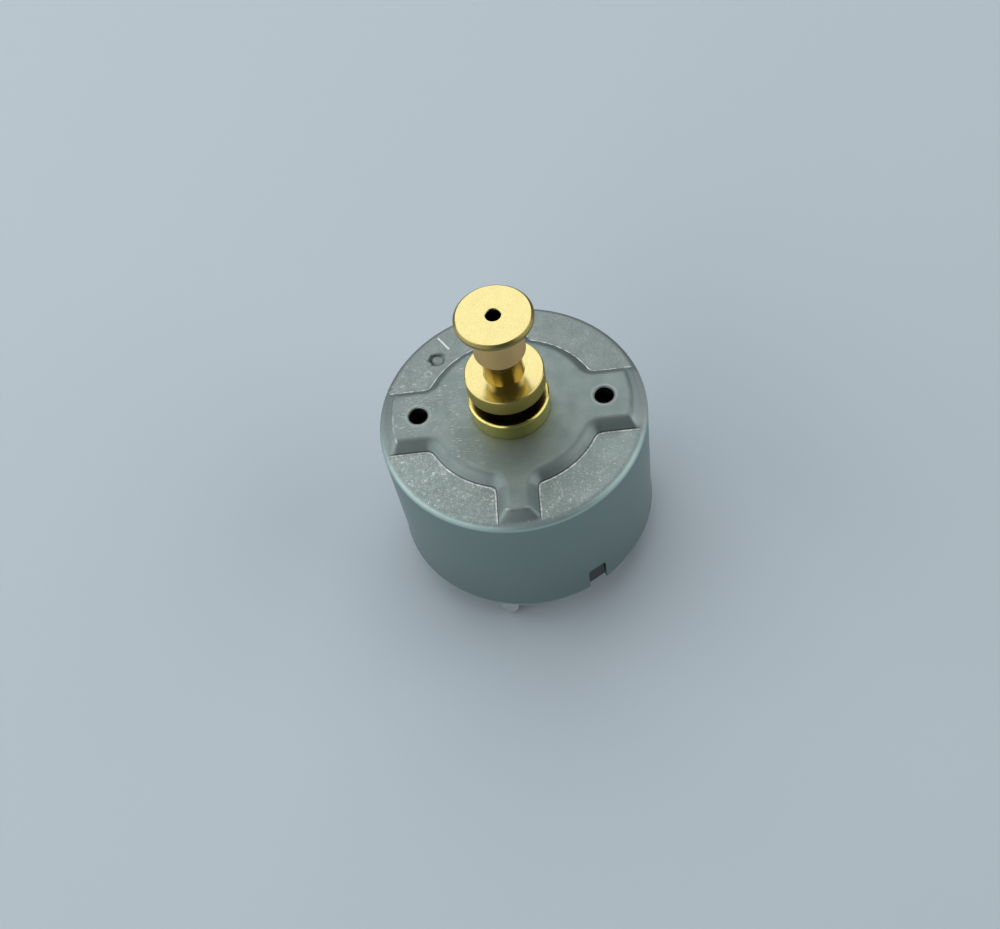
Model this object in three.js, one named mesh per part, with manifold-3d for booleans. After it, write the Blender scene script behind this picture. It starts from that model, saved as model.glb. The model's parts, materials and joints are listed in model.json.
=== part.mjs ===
// Flat 32 mm brushed DC motor with a turned brass pulley on its shaft.
// Millimetres, +Z up. The origin is on the shaft axis, at the bottom of the rear boss.

import * as THREE from 'three';
import { mergeVertices } from 'three/addons/utils/BufferGeometryUtils.js';
import Module from 'manifold-3d';

const wasm = await Module();
wasm.setup();

// ---------------------------------------------------------------- driving dimensions

// can: a drawn steel cup, open end down, standing clear of the ground on the rear boss
const CAN_RADIUS = 16;
const CAN_BORE = 15.2;
const CAN_LENGTH = 20.2;
const SHEET = 0.85;
const LIP = 4;
const PLATFORM = LIP + CAN_LENGTH;
const EDGE_BREAK = 0.15;
const RIM_ROUND = 0.9;
const INNER_CORNER = 0.6;

// embossed front face: a raised plus between four recessed sectors
const SECTOR_DEPTH = 1.25;
const SECTOR_FLOOR = PLATFORM - SECTOR_DEPTH;
const SECTOR_DRAFT = 1.05;
const SECTOR_INNER_RADIUS = 10.65;
const SECTOR_CORNER = 1;
const SIDE_ARM_FOOT = 4.45;
const END_ARM_FOOT = 2.45;
const ARM_REACH = 14.1;
const ARM_END_DROP = 0.6;
const ARM_END_RUN = 0.25;
const POCKET_WALL = 0.4;
const POCKET_REACH = 13.4;
const DIMPLE_BALL = 2;
const DIMPLE_DEPTH = 0.25;
const DIMPLE_PLACE = [-8.65, 8.95];

// mounting holes, threaded through collars pressed inwards from the sheet
const HOLE_PITCH = 22;
const HOLE_RADIUS = 1.1;
const HOLE_LEAD_IN = 0.25;
const THREAD_COLLAR_RADIUS = 1.8;
const THREAD_COLLAR_DEPTH = 1.9;

// notches in the open edge of the can, and the crimps that hold the end cap in
const NOTCH_ANGLES = [-60, 120];
const NOTCH_WIDTH = 2.5;
const NOTCH_HEIGHT = 3.9;
const NOTCH_CORNER = 0.5;
const CRIMP_ANGLES = [-15, 45, 165, 225];
const CRIMP_WIDTH = 2.6;
const CRIMP_REACH = 0.7;
const CRIMP_THICKNESS = 0.55;

// fits
const RUNNING_FIT = 0.03;
const SEAT = 0.03;
const FACE_GAP = 0.05;
const TOOL_MARGIN = 1;

// shaft and bearings
const SHAFT_RADIUS = 1;
const SHAFT_CHAMFER = 0.15;
const SHAFT_END = PLATFORM + 12.3;
const BORE_RADIUS = SHAFT_RADIUS + SEAT;
const BEARING_RADIUS = 2.25;
const FRONT_BEARING_LENGTH = 3.5;
const REAR_BEARING_LENGTH = 3;
const REAR_BEARING_LIFT = 0.3;
const THRUST_BOTTOM = 1.2;
const THRUST_THICKNESS = 0.3;

// brass bearing housing on the front face
const HOUSING_RADIUS = 4.8;
const HOUSING_HEIGHT = 2.45;
const HOUSING_CHAMFER = 0.2;
const HOUSING_ROOF = 0.3;
const HOUSING_MOUTH = 1.35;
const SPIGOT_RADIUS = 3.15;
const STAKE_RADIUS = 3.55;
const STAKE_BOTTOM = PLATFORM - 1.45;

// pulley: heights above the platform
const PULLEY_BOTTOM = 4.5;
const FLANGE_TOP = 6.85;
const STEP_BOTTOM = 10.7;
const RIM_BOTTOM = 15.95;
const PULLEY_TOP = 16.75;
const BLIND_BORE_TOP = 12.5;
const FLANGE_RADIUS = 4.6;
const RIM_RADIUS = 4.4;
const FACE_RADIUS = 4.1;
const FACE_CHAMFER = 0.3;
const NECK_RADIUS = 2.32;
const STEP_RADIUS = 2.95;
const STEP_CONE = 12;
const VENT_RADIUS = 0.75;
const PULLEY_CHAMFER = 0.15;

// magnets and the springs that spread them
const MAGNET_INNER = 12.35;
const MAGNET_OUTER = 15.1;
const MAGNET_BOTTOM = 9.6;
const MAGNET_TOP = 21;
const MAGNET_ARC = 140;
const SPRING_BOTTOM = 10.6;
const SPRING_TOP = 20;
const SPRING_THICKNESS = 0.3;
const SPRING_RADIUS = 14.85;
const SPRING_TOE_RADIUS = 13;
const SPRING_HALF_ARC = 13;
const SPRING_TOE_ANGLE = 18.2;

// armature
const POLES = 3;
const LAMINATIONS = 10;
const LAMINATION_PITCH = 0.6;
const LAMINATION_GAP = 0.02;
const CORE_BOTTOM = 13.4;
const CORE_TOP = CORE_BOTTOM + LAMINATIONS * LAMINATION_PITCH;
const CORE_HUB = 3.6;
const CORE_RADIUS = 11.9;
const SHOE_INNER = 10.8;
const SHOE_ARC = 104;
const TOOTH_WIDTH = 3.2;
const INSULATOR = 0.45;
const INSULATOR_TRIM = 0.5;
const COIL_START = 4.4;
const COIL_END = 9.9;
const COIL_BUILD = 1.6;
const COIL_CLEAR = 0.1;
const COIL_ROUND = 0.5;

// commutator
const COMMUTATOR_RADIUS = 2.65;
const COMMUTATOR_HUB = 2.2;
const COMMUTATOR_BOTTOM = 6.9;
const COMMUTATOR_TOP = 12.85;
const SEGMENT_BOTTOM = 7;
const SEGMENT_TOP = 11;
const SEGMENT_ARC = 112;
const TANG_REACH = 3.7;
const TANG_WIDTH = 1;
const TANG_THICKNESS = 0.45;
const BAND_BOTTOM = 9.5;
const BAND_TOP = 10.1;
const BAND_RADIUS = 3.1;
const VARISTOR_RADIUS = 4;
const VARISTOR_THICKNESS = 0.6;

// spacers and washers on the shaft
const SPACER_RADIUS = 1.9;
const WASHER_RADIUS = 2.1;
const WASHER_THICKNESS = 0.25;

// end cap
const CAP_BOTTOM = 4.7;
const CAP_TOP = 6.6;
const CAP_RADIUS = 15.05;
const BOSS_RADIUS = 5.5;
const BOSS_CHAMFER = 0.3;
const CAP_MOUTH = 3.4;
const GROOVE_INNER = 6.3;
const GROOVE_OUTER = 12.4;
const GROOVE_DEPTH = 0.6;
const RIBS = 8;
const RIB_WIDTH = 1;
const EAR_OUTER = 15.7;
const EAR_DEPTH = 1.2;
const EAR_TOP = 7.6;
const EAR_WIDTH = 2.2;

// terminals and brushes; the first terminal is at this angle, the second opposite
const TERMINAL_ANGLE = -103.5;
const TERMINAL_PLACE = 13.9;
const TERMINAL_THICKNESS = 0.4;
const TERMINAL_WIDTH = 2.3;
const TERMINAL_TIP = 0.65;
const TERMINAL_SPLAY = 20;
const TERMINAL_LENGTH = 4.35;
const TERMINAL_TAPER = 3.35;
const TERMINAL_BEND = 0.425;
const BRUSH_BOTTOM = 7.2;
const BRUSH_TOP = 9.2;
const BRUSH_ARM = 0.2;
const BRUSH_ARM_LINE = 3.75;
const BRUSH_ARM_END = 1.4;
const BRUSH_LENGTH = 1.8;
const BRUSH_MARGIN = 0.3;
const BRUSH_POST = [5, -8];
const BRUSH_POST_SIZE = [2, 2.2];

// roundness: sides on a full turn
const COARSE = 24;
const FINE = 48;
const ROUND = 72;

// ---------------------------------------------------------------- finishes

const finish = (color, roughness, metalness) =>
  new THREE.MeshStandardMaterial({ color, roughness, metalness });
const ZINC = finish(0x8e999c, 0.38, 0.95);
const BRASS = finish(0xd9b765, 0.18, 1);
const BRONZE = finish(0x8a6a48, 0.6, 0.8);
const FERRITE = finish(0x2e2e30, 0.8, 0.1);
const SPRING_STEEL = finish(0x8d9094, 0.35, 0.95);
const GROUND_STEEL = finish(0xb9bcc0, 0.2, 1);
const SILICON_STEEL = finish(0x7b7f82, 0.45, 0.9);
const COPPER = finish(0xb8693a, 0.3, 1);
const ENAMEL_WIRE = finish(0xa4532a, 0.35, 0.7);
const BLACK_NYLON = finish(0x1d1e20, 0.55, 0);
const WHITE_NYLON = finish(0xd8d6cc, 0.5, 0);
const TINNED = finish(0xb4babb, 0.35, 0.95);
const CARBON = finish(0x2b2927, 0.7, 0.2);
const CERAMIC = finish(0x4a4440, 0.75, 0);

// ---------------------------------------------------------------- shape helpers

const radians = THREE.MathUtils.degToRad;
const degrees = THREE.MathUtils.radToDeg;

const polar = (radius, angle) => [radius * Math.cos(radians(angle)), radius * Math.sin(radians(angle))];

/** Points on an arc about a centre, both ends included. */
function arc(radius, from, to, steps, centre = [0, 0]) {
  const points = [];
  for (let step = 0; step <= steps; step += 1) {
    const [x, y] = polar(radius, from + ((to - from) * step) / steps);
    points.push([centre[0] + x, centre[1] + y]);
  }
  return points;
}

/** A closed three.js geometry as a solid that can be joined and cut. */
function solid(geometry) {
  const bare = geometry.clone();
  bare.deleteAttribute('normal');
  bare.deleteAttribute('uv');
  const merged = mergeVertices(bare, 1e-5);
  return new wasm.Manifold(new wasm.Mesh({
    numProp: 3,
    vertProperties: new Float32Array(merged.attributes.position.array),
    triVerts: new Uint32Array(merged.index.array),
  }));
}

/** A solid as a three.js geometry. */
function geometryOf(body) {
  const mesh = body.getMesh();
  const geometry = new THREE.BufferGeometry();
  geometry.setAttribute('position', new THREE.BufferAttribute(new Float32Array(mesh.vertProperties), 3));
  geometry.setIndex(new THREE.BufferAttribute(new Uint32Array(mesh.triVerts), 1));
  geometry.computeVertexNormals();
  return geometry;
}

const cut = (body, tools) => tools.reduce((left, tool) => left.subtract(solid(tool)), body);
const join = (body, pieces) => pieces.reduce((whole, piece) => whole.add(solid(piece)), body);

/** A body turned about Z from [radius, height] points that start and end on the axis. */
function turned(profile, sides) {
  const points = profile.map(([radius, height]) => new THREE.Vector2(radius, height));
  return new THREE.LatheGeometry(points, sides).rotateX(Math.PI / 2);
}

/** A turned ring: the profile goes anticlockwise and closes on itself. */
const ring = (profile, sides) => turned([...profile, profile[0]], sides);

/** A plain washer, tube or bush. */
function bush(inner, outer, bottom, top, sides) {
  return ring([[inner, bottom], [outer, bottom], [outer, top], [inner, top]], sides);
}

/** A flat outline drawn through points, with an optional hole. */
function outline(points, hole = null) {
  const shape = new THREE.Shape(points.map(([x, y]) => new THREE.Vector2(x, y)));
  if (hole) shape.holes.push(new THREE.Path(hole.map(([x, y]) => new THREE.Vector2(x, y))));
  return shape;
}

/** An outline pulled up from one height to another. */
function pulled(shape, bottom, top) {
  const geometry = new THREE.ExtrudeGeometry(shape, { depth: top - bottom, bevelEnabled: false });
  return geometry.translate(0, 0, bottom);
}

/** A block centred on (x, y), then turned about the axis. */
function block(width, depth, bottom, top, x, y, angle = 0) {
  const geometry = new THREE.BoxGeometry(width, depth, top - bottom);
  return geometry.translate(x, y, (bottom + top) / 2).rotateZ(radians(angle));
}

/** A cylinder or cone along Z, wider or narrower at the top where a top radius is given. */
function post(radius, bottom, top, x, y, topRadius = radius) {
  const geometry = new THREE.CylinderGeometry(topRadius, radius, top - bottom, COARSE);
  return geometry.rotateX(Math.PI / 2).translate(x, y, (bottom + top) / 2);
}

/** The outline of a thin strip of sheet that follows a line of points. */
function strip(points, thickness) {
  const offset = (side) => points.map(([x, y], index) => {
    const [ax, ay] = points[Math.max(index - 1, 0)];
    const [bx, by] = points[Math.min(index + 1, points.length - 1)];
    const length = Math.hypot(bx - ax, by - ay);
    const shift = (side * thickness) / 2 / length;
    return [x - (by - ay) * shift, y + (bx - ax) * shift];
  });
  return outline([...offset(1), ...offset(-1).reverse()]);
}

const motor = new THREE.Group();

/** Adds one named sub-part, turned about the axis by an angle in degrees. */
function addPart(name, geometry, material, angle = 0) {
  const mesh = new THREE.Mesh(geometry, material);
  mesh.name = name;
  mesh.rotation.z = radians(angle);
  motor.add(mesh);
}

// ---------------------------------------------------------------- can

/** Floor outline of one recessed sector, in the quadrant given by two signs. */
function sectorFloor(signX, signY) {
  const beyondRim = CAN_RADIUS + TOOL_MARGIN;
  const reach = SECTOR_INNER_RADIUS + SECTOR_CORNER;
  const sideAngle = degrees(Math.asin((SIDE_ARM_FOOT + SECTOR_CORNER) / reach));
  const endAngle = degrees(Math.acos((END_ARM_FOOT + SECTOR_CORNER) / reach));
  const points = [
    ...arc(SECTOR_CORNER, -90, sideAngle - 180, 4, polar(reach, sideAngle)),
    ...arc(SECTOR_INNER_RADIUS, sideAngle, endAngle, 10).slice(1, -1),
    ...arc(SECTOR_CORNER, endAngle + 180, 180, 4, polar(reach, endAngle)),
    ...arc(
      beyondRim,
      degrees(Math.acos(END_ARM_FOOT / beyondRim)),
      degrees(Math.asin(SIDE_ARM_FOOT / beyondRim)),
      6,
    ),
  ];
  return outline(points.map(([x, y]) => [signX * x, signY * y]));
}

/** The tool that sinks one sector, with drafted walls that widen upwards. */
function sectorTool(signX, signY) {
  const geometry = new THREE.ExtrudeGeometry(sectorFloor(signX, signY), {
    depth: SECTOR_DEPTH,
    bevelEnabled: true,
    bevelThickness: SECTOR_DEPTH,
    bevelSize: SECTOR_DRAFT,
    bevelSegments: 1,
  });
  return geometry.translate(0, 0, PLATFORM);
}

/** The notch tool: a slot with rounded top corners, across the can wall. */
function notchTool(angle) {
  const half = NOTCH_WIDTH / 2;
  const top = LIP + NOTCH_HEIGHT;
  const shape = outline([
    [-half, LIP - TOOL_MARGIN],
    [half, LIP - TOOL_MARGIN],
    ...arc(NOTCH_CORNER, 0, 90, 3, [half - NOTCH_CORNER, top - NOTCH_CORNER]),
    ...arc(NOTCH_CORNER, 90, 180, 3, [NOTCH_CORNER - half, top - NOTCH_CORNER]),
  ]);
  const depth = CAN_RADIUS - CAN_BORE + 2 * TOOL_MARGIN;
  const geometry = new THREE.ExtrudeGeometry(shape, { depth, bevelEnabled: false });
  return geometry.rotateX(Math.PI / 2).translate(0, TOOL_MARGIN - CAN_BORE, 0).rotateZ(radians(angle + 90));
}

function canGeometry() {
  const roundCentre = [CAN_RADIUS - RIM_ROUND, SECTOR_FLOOR - RIM_ROUND];
  const centreHole = SPIGOT_RADIUS + SEAT;
  const ceiling = SECTOR_FLOOR - SHEET;
  const toolBottom = ceiling - TOOL_MARGIN;
  const blank = ring([
    [CAN_BORE, LIP],
    [CAN_RADIUS - EDGE_BREAK, LIP],
    [CAN_RADIUS, LIP + EDGE_BREAK],
    ...arc(RIM_ROUND, 0, 90, 4, roundCentre),
    [ARM_REACH + ARM_END_RUN, PLATFORM - ARM_END_DROP],
    [ARM_REACH, PLATFORM],
    [centreHole, PLATFORM],
    [centreHole, ceiling],
    [CAN_BORE - INNER_CORNER, ceiling],
    [CAN_BORE, ceiling - INNER_CORNER],
  ], ROUND);

  // the plus stands proud on both faces of the sheet
  const pocketRadius = SECTOR_INNER_RADIUS - SECTOR_DRAFT - POCKET_WALL;
  const pocketTop = PLATFORM - SHEET;
  const sidePocket = 2 * (SIDE_ARM_FOOT - SECTOR_DRAFT - POCKET_WALL);
  const endPocket = 2 * (END_ARM_FOOT - SECTOR_DRAFT - POCKET_WALL);
  const pocket = join(solid(turned([
    [0, toolBottom],
    [pocketRadius, toolBottom],
    [pocketRadius, pocketTop],
    [0, pocketTop],
  ], FINE)), [
    block(2 * POCKET_REACH, sidePocket, toolBottom, pocketTop, 0, 0),
    block(endPocket, 2 * POCKET_REACH, toolBottom, pocketTop, 0, 0),
  ]);

  const holes = [-HOLE_PITCH / 2, HOLE_PITCH / 2];
  const collars = holes.map((x) =>
    post(THREAD_COLLAR_RADIUS, PLATFORM - THREAD_COLLAR_DEPTH, pocketTop + SHEET / 2, x, 0));
  const drills = holes.map((x) => post(HOLE_RADIUS, toolBottom, PLATFORM + TOOL_MARGIN, x, 0));
  const leadInRise = 2 * HOLE_LEAD_IN;
  const leadIns = holes.map((x) =>
    post(HOLE_RADIUS, PLATFORM - HOLE_LEAD_IN, PLATFORM + HOLE_LEAD_IN, x, 0, HOLE_RADIUS + leadInRise));
  const sectors = [[1, 1], [-1, 1], [-1, -1], [1, -1]].map(([x, y]) => sectorTool(x, y));
  const dimple = new THREE.SphereGeometry(DIMPLE_BALL, COARSE, COARSE / 2)
    .translate(...DIMPLE_PLACE, SECTOR_FLOOR + DIMPLE_BALL - DIMPLE_DEPTH);
  const crimps = CRIMP_ANGLES.map((angle) =>
    block(CRIMP_REACH + SHEET / 2, CRIMP_WIDTH, LIP, LIP + CRIMP_THICKNESS,
      CAN_BORE - CRIMP_REACH / 2 + SHEET / 4, 0, angle));

  const shell = cut(solid(blank).subtract(pocket), [...sectors, dimple, ...NOTCH_ANGLES.map(notchTool)]);
  return geometryOf(cut(join(shell, [...collars, ...crimps]), [...drills, ...leadIns]));
}

addPart('can', canGeometry(), ZINC);

// ---------------------------------------------------------------- front bearing

const housingTop = PLATFORM + HOUSING_HEIGHT;
const housingSeat = PLATFORM + SEAT;
const stakeTop = PLATFORM - SHEET - FACE_GAP;
const housingBore = BEARING_RADIUS + FACE_GAP;

addPart('bearing_housing', ring([
  [housingBore, STAKE_BOTTOM],
  [STAKE_RADIUS, STAKE_BOTTOM],
  [STAKE_RADIUS, stakeTop],
  [SPIGOT_RADIUS, stakeTop],
  [SPIGOT_RADIUS, housingSeat],
  [HOUSING_RADIUS, housingSeat],
  [HOUSING_RADIUS, housingTop - HOUSING_CHAMFER],
  [HOUSING_RADIUS - HOUSING_CHAMFER, housingTop],
  [HOUSING_MOUTH, housingTop],
  [HOUSING_MOUTH, housingTop - HOUSING_ROOF],
  [housingBore, housingTop - HOUSING_ROOF],
], FINE), BRASS);

const frontBearingTop = housingTop - HOUSING_ROOF - FACE_GAP;
const frontBearingBottom = frontBearingTop - FRONT_BEARING_LENGTH;

addPart('front_bearing', bush(
  SHAFT_RADIUS + RUNNING_FIT,
  BEARING_RADIUS,
  frontBearingBottom,
  frontBearingTop,
  FINE,
), BRONZE);

// ---------------------------------------------------------------- magnets

function magnetGeometry() {
  const half = MAGNET_ARC / 2;
  const shape = outline([
    ...arc(MAGNET_OUTER, -half, half, 20),
    ...arc(MAGNET_INNER, half, -half, 20),
  ]);
  return pulled(shape, MAGNET_BOTTOM, MAGNET_TOP);
}

function magnetSpringGeometry() {
  const shape = strip([
    polar(SPRING_TOE_RADIUS, -SPRING_TOE_ANGLE),
    ...arc(SPRING_RADIUS, -SPRING_HALF_ARC, SPRING_HALF_ARC, 6),
    polar(SPRING_TOE_RADIUS, SPRING_TOE_ANGLE),
  ], SPRING_THICKNESS);
  return pulled(shape, SPRING_BOTTOM, SPRING_TOP);
}

addPart('magnet_right', magnetGeometry(), FERRITE, 0);
addPart('magnet_left', magnetGeometry(), FERRITE, 180);
addPart('magnet_spring_back', magnetSpringGeometry(), SPRING_STEEL, 90);
addPart('magnet_spring_front', magnetSpringGeometry(), SPRING_STEEL, -90);

// ---------------------------------------------------------------- end cap and rear bearing

const localTerminal = TERMINAL_ANGLE + 90;

function endCapGeometry() {
  const pocketBottom = THRUST_BOTTOM - FACE_GAP;
  const mouthBottom = CAP_BOTTOM + GROOVE_DEPTH;
  const plate = solid(turned([
    [0, 0],
    [BOSS_RADIUS - BOSS_CHAMFER, 0],
    [BOSS_RADIUS, BOSS_CHAMFER],
    [BOSS_RADIUS, CAP_BOTTOM],
    [GROOVE_INNER, CAP_BOTTOM],
    [GROOVE_INNER, CAP_BOTTOM + GROOVE_DEPTH],
    [GROOVE_OUTER, CAP_BOTTOM + GROOVE_DEPTH],
    [GROOVE_OUTER, CAP_BOTTOM],
    [CAP_RADIUS, CAP_BOTTOM],
    [CAP_RADIUS, CAP_TOP],
    [CAP_MOUTH, CAP_TOP],
    [CAP_MOUTH, mouthBottom],
    [housingBore, mouthBottom],
    [housingBore, pocketBottom],
    [0, pocketBottom],
  ], FINE));

  const ribs = [];
  for (let rib = 0; rib < RIBS; rib += 1) {
    ribs.push(block(
      GROOVE_OUTER - GROOVE_INNER + RIB_WIDTH / 2,
      RIB_WIDTH,
      CAP_BOTTOM,
      CAP_BOTTOM + GROOVE_DEPTH + FACE_GAP,
      (GROOVE_INNER + GROOVE_OUTER) / 2,
      0,
      (360 * rib) / RIBS,
    ));
  }
  const ears = NOTCH_ANGLES.map((angle) =>
    block(EAR_DEPTH, EAR_WIDTH, CAP_BOTTOM, EAR_TOP, EAR_OUTER - EAR_DEPTH / 2, 0, angle));
  const sides = [localTerminal, localTerminal + 180];
  const posts = sides.map((angle) =>
    block(...BRUSH_POST_SIZE, CAP_TOP - FACE_GAP, BRUSH_TOP, ...BRUSH_POST, angle));
  const slots = sides.map((angle) =>
    block(TERMINAL_WIDTH + 2 * FACE_GAP, TERMINAL_THICKNESS + 2 * FACE_GAP,
      CAP_BOTTOM - TOOL_MARGIN, CAP_TOP + TOOL_MARGIN, 0, -TERMINAL_PLACE, angle));
  return geometryOf(cut(join(plate, [...ribs, ...ears, ...posts]), slots));
}

addPart('end_cap', endCapGeometry(), BLACK_NYLON);

const rearBearingBottom = THRUST_BOTTOM + THRUST_THICKNESS + REAR_BEARING_LIFT;

addPart('rear_bearing', bush(
  SHAFT_RADIUS + RUNNING_FIT,
  BEARING_RADIUS,
  rearBearingBottom,
  rearBearingBottom + REAR_BEARING_LENGTH,
  FINE,
), BRONZE);

const thrustTop = THRUST_BOTTOM + THRUST_THICKNESS;

addPart('thrust_disc', turned([
  [0, THRUST_BOTTOM],
  [BEARING_RADIUS, THRUST_BOTTOM],
  [BEARING_RADIUS, thrustTop],
  [0, thrustTop],
], COARSE), WHITE_NYLON);

// ---------------------------------------------------------------- terminals and brushes

/** A terminal: an upright leg through the end cap, then a splayed solder tab with a round tip. */
function terminalGeometry() {
  const half = TERMINAL_WIDTH / 2;
  const tab = outline([
    [-half, TERMINAL_BEND],
    [-half, -TERMINAL_TAPER],
    ...arc(TERMINAL_TIP, 200, 340, 6, [0, TERMINAL_TIP - TERMINAL_LENGTH]),
    [half, -TERMINAL_TAPER],
    [half, TERMINAL_BEND],
  ]);
  const splayed = new THREE.ExtrudeGeometry(tab, { depth: TERMINAL_THICKNESS, bevelEnabled: false })
    .translate(0, 0, -TERMINAL_THICKNESS / 2)
    .rotateX(Math.PI / 2)
    .rotateX(-radians(TERMINAL_SPLAY))
    .translate(0, -TERMINAL_PLACE, CAP_BOTTOM - TERMINAL_BEND);
  const legBottom = CAP_BOTTOM - TERMINAL_BEND;
  const leg = block(TERMINAL_WIDTH, TERMINAL_THICKNESS, legBottom, BRUSH_TOP, 0, -TERMINAL_PLACE);
  return geometryOf(join(solid(leg), [splayed]));
}

/** A leaf from the terminal's foot to the commutator. */
function brushArmGeometry() {
  const foot = TERMINAL_THICKNESS / 2 + FACE_GAP + BRUSH_ARM / 2 - TERMINAL_PLACE;
  const shape = strip([
    [-TERMINAL_WIDTH / 2, foot],
    [TERMINAL_WIDTH / 2, foot],
    [BRUSH_ARM_LINE, foot + BRUSH_ARM_LINE - TERMINAL_WIDTH / 2],
    [BRUSH_ARM_LINE, BRUSH_ARM_END],
  ], BRUSH_ARM);
  return pulled(shape, BRUSH_BOTTOM, BRUSH_TOP);
}

/** A carbon block between its leaf and the commutator, with a running gap to the copper. */
function brushGeometry() {
  const inner = COMMUTATOR_RADIUS + FACE_GAP;
  const outer = BRUSH_ARM_LINE - BRUSH_ARM / 2 - FACE_GAP;
  return block(outer - inner, BRUSH_LENGTH, BRUSH_BOTTOM + BRUSH_MARGIN, BRUSH_TOP - BRUSH_MARGIN,
    (inner + outer) / 2, 0);
}

for (const [side, angle] of [['front', localTerminal], ['back', localTerminal + 180]]) {
  addPart(`terminal_${side}`, terminalGeometry(), TINNED, angle);
  addPart(`brush_arm_${side}`, brushArmGeometry(), BRONZE, angle);
  addPart(`brush_${side}`, brushGeometry(), CARBON, angle);
}

// ---------------------------------------------------------------- shaft and armature

const shaftStart = thrustTop + LAMINATION_GAP;

addPart('shaft', turned([
  [0, shaftStart],
  [SHAFT_RADIUS - SHAFT_CHAMFER, shaftStart],
  [SHAFT_RADIUS, shaftStart + SHAFT_CHAMFER],
  [SHAFT_RADIUS, SHAFT_END - SHAFT_CHAMFER],
  [SHAFT_RADIUS - SHAFT_CHAMFER, SHAFT_END],
  [0, SHAFT_END],
], FINE), GROUND_STEEL);

/** Outline of the three-pole armature, with its shoes trimmed back by a margin. */
function armatureOutline(trim) {
  const half = TOOTH_WIDTH / 2;
  const halfShoe = (SHOE_ARC - 2 * degrees(trim / CORE_RADIUS)) / 2;
  const rootAngle = degrees(Math.asin(half / CORE_HUB));
  const tipAngle = degrees(Math.asin(half / SHOE_INNER));
  const points = [];
  for (let pole = 0; pole < POLES; pole += 1) {
    const angle = 90 + (360 * pole) / POLES;
    points.push(
      polar(CORE_HUB, angle - rootAngle),
      ...arc(SHOE_INNER, angle - tipAngle, angle - halfShoe, 3),
      ...arc(CORE_RADIUS - trim, angle - halfShoe, angle + halfShoe, 10),
      ...arc(SHOE_INNER, angle + halfShoe, angle + tipAngle, 3),
      polar(CORE_HUB, angle + rootAngle),
      polar(CORE_HUB, angle + 180 / POLES),
    );
  }
  return outline(points, arc(BORE_RADIUS, 0, 360, COARSE).slice(0, -1));
}

for (let sheet = 0; sheet < LAMINATIONS; sheet += 1) {
  const bottom = CORE_BOTTOM + sheet * LAMINATION_PITCH;
  const name = `core_lamination_${String(sheet + 1).padStart(2, '0')}`;
  const top = bottom + LAMINATION_PITCH - LAMINATION_GAP;
  addPart(name, pulled(armatureOutline(0), bottom, top), SILICON_STEEL);
}

const insulatorBottom = CORE_BOTTOM - LAMINATION_GAP - INSULATOR;
const insulatorTop = CORE_TOP + INSULATOR;

addPart('insulator_rear', pulled(
  armatureOutline(INSULATOR_TRIM),
  insulatorBottom,
  insulatorBottom + INSULATOR,
), WHITE_NYLON);
addPart('insulator_front', pulled(armatureOutline(INSULATOR_TRIM), CORE_TOP, insulatorTop), WHITE_NYLON);

/** One winding: a closed ring round its tooth, with rounded shoulders. */
function coilGeometry() {
  const middle = (insulatorBottom + insulatorTop) / 2;
  const insideX = TOOTH_WIDTH / 2 + COIL_CLEAR;
  const insideZ = (insulatorTop - insulatorBottom) / 2 + COIL_CLEAR;
  const corner = (signX, signZ, from) =>
    arc(COIL_BUILD, from, from + 90, 4, [signX * insideX, signZ * insideZ]);
  const shape = outline(
    [...corner(1, 1, 0), ...corner(-1, 1, 90), ...corner(-1, -1, 180), ...corner(1, -1, 270)],
    [[-insideX, -insideZ], [-insideX, insideZ], [insideX, insideZ], [insideX, -insideZ]],
  );
  const geometry = new THREE.ExtrudeGeometry(shape, {
    depth: COIL_END - COIL_START - 2 * COIL_ROUND,
    bevelEnabled: true,
    bevelThickness: COIL_ROUND,
    bevelSize: COIL_ROUND,
    bevelOffset: -COIL_ROUND,
    bevelSegments: 2,
  });
  return geometry.translate(0, 0, COIL_START + COIL_ROUND).rotateX(Math.PI / 2).translate(0, 0, middle);
}

for (let pole = 0; pole < POLES; pole += 1) {
  addPart(`coil_${pole + 1}`, coilGeometry(), ENAMEL_WIRE, 180 + (360 * pole) / POLES);
}

// ---------------------------------------------------------------- commutator

addPart('commutator_hub', bush(
  BORE_RADIUS,
  COMMUTATOR_HUB,
  COMMUTATOR_BOTTOM,
  COMMUTATOR_TOP,
  COARSE,
), BLACK_NYLON);

function segmentGeometry() {
  const half = SEGMENT_ARC / 2;
  const bar = outline([
    ...arc(COMMUTATOR_RADIUS, -half, half, 12),
    ...arc(COMMUTATOR_HUB + FACE_GAP, half, -half, 12),
  ]);
  const tangStart = COMMUTATOR_HUB + 2 * FACE_GAP;
  const tang = block(TANG_REACH - tangStart, TANG_WIDTH, SEGMENT_TOP - TANG_THICKNESS, SEGMENT_TOP,
    (TANG_REACH + tangStart) / 2, 0);
  return geometryOf(join(solid(pulled(bar, SEGMENT_BOTTOM, SEGMENT_TOP)), [tang]));
}

for (let pole = 0; pole < POLES; pole += 1) {
  addPart(`commutator_segment_${pole + 1}`, segmentGeometry(), COPPER, 30 + (360 * pole) / POLES);
}

addPart('commutator_band', bush(
  COMMUTATOR_RADIUS + FACE_GAP,
  BAND_RADIUS,
  BAND_BOTTOM,
  BAND_TOP,
  COARSE,
), WHITE_NYLON);

const varistorBottom = SEGMENT_TOP + FACE_GAP;

addPart('varistor', bush(
  COMMUTATOR_HUB + FACE_GAP,
  VARISTOR_RADIUS,
  varistorBottom,
  varistorBottom + VARISTOR_THICKNESS,
  COARSE,
), CERAMIC);

// ---------------------------------------------------------------- spacers and washers

const frontWasherTop = frontBearingBottom - 2 * FACE_GAP;
const frontWasherBottom = frontWasherTop - WASHER_THICKNESS;
const rearWasherTop = COMMUTATOR_BOTTOM - FACE_GAP;

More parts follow.
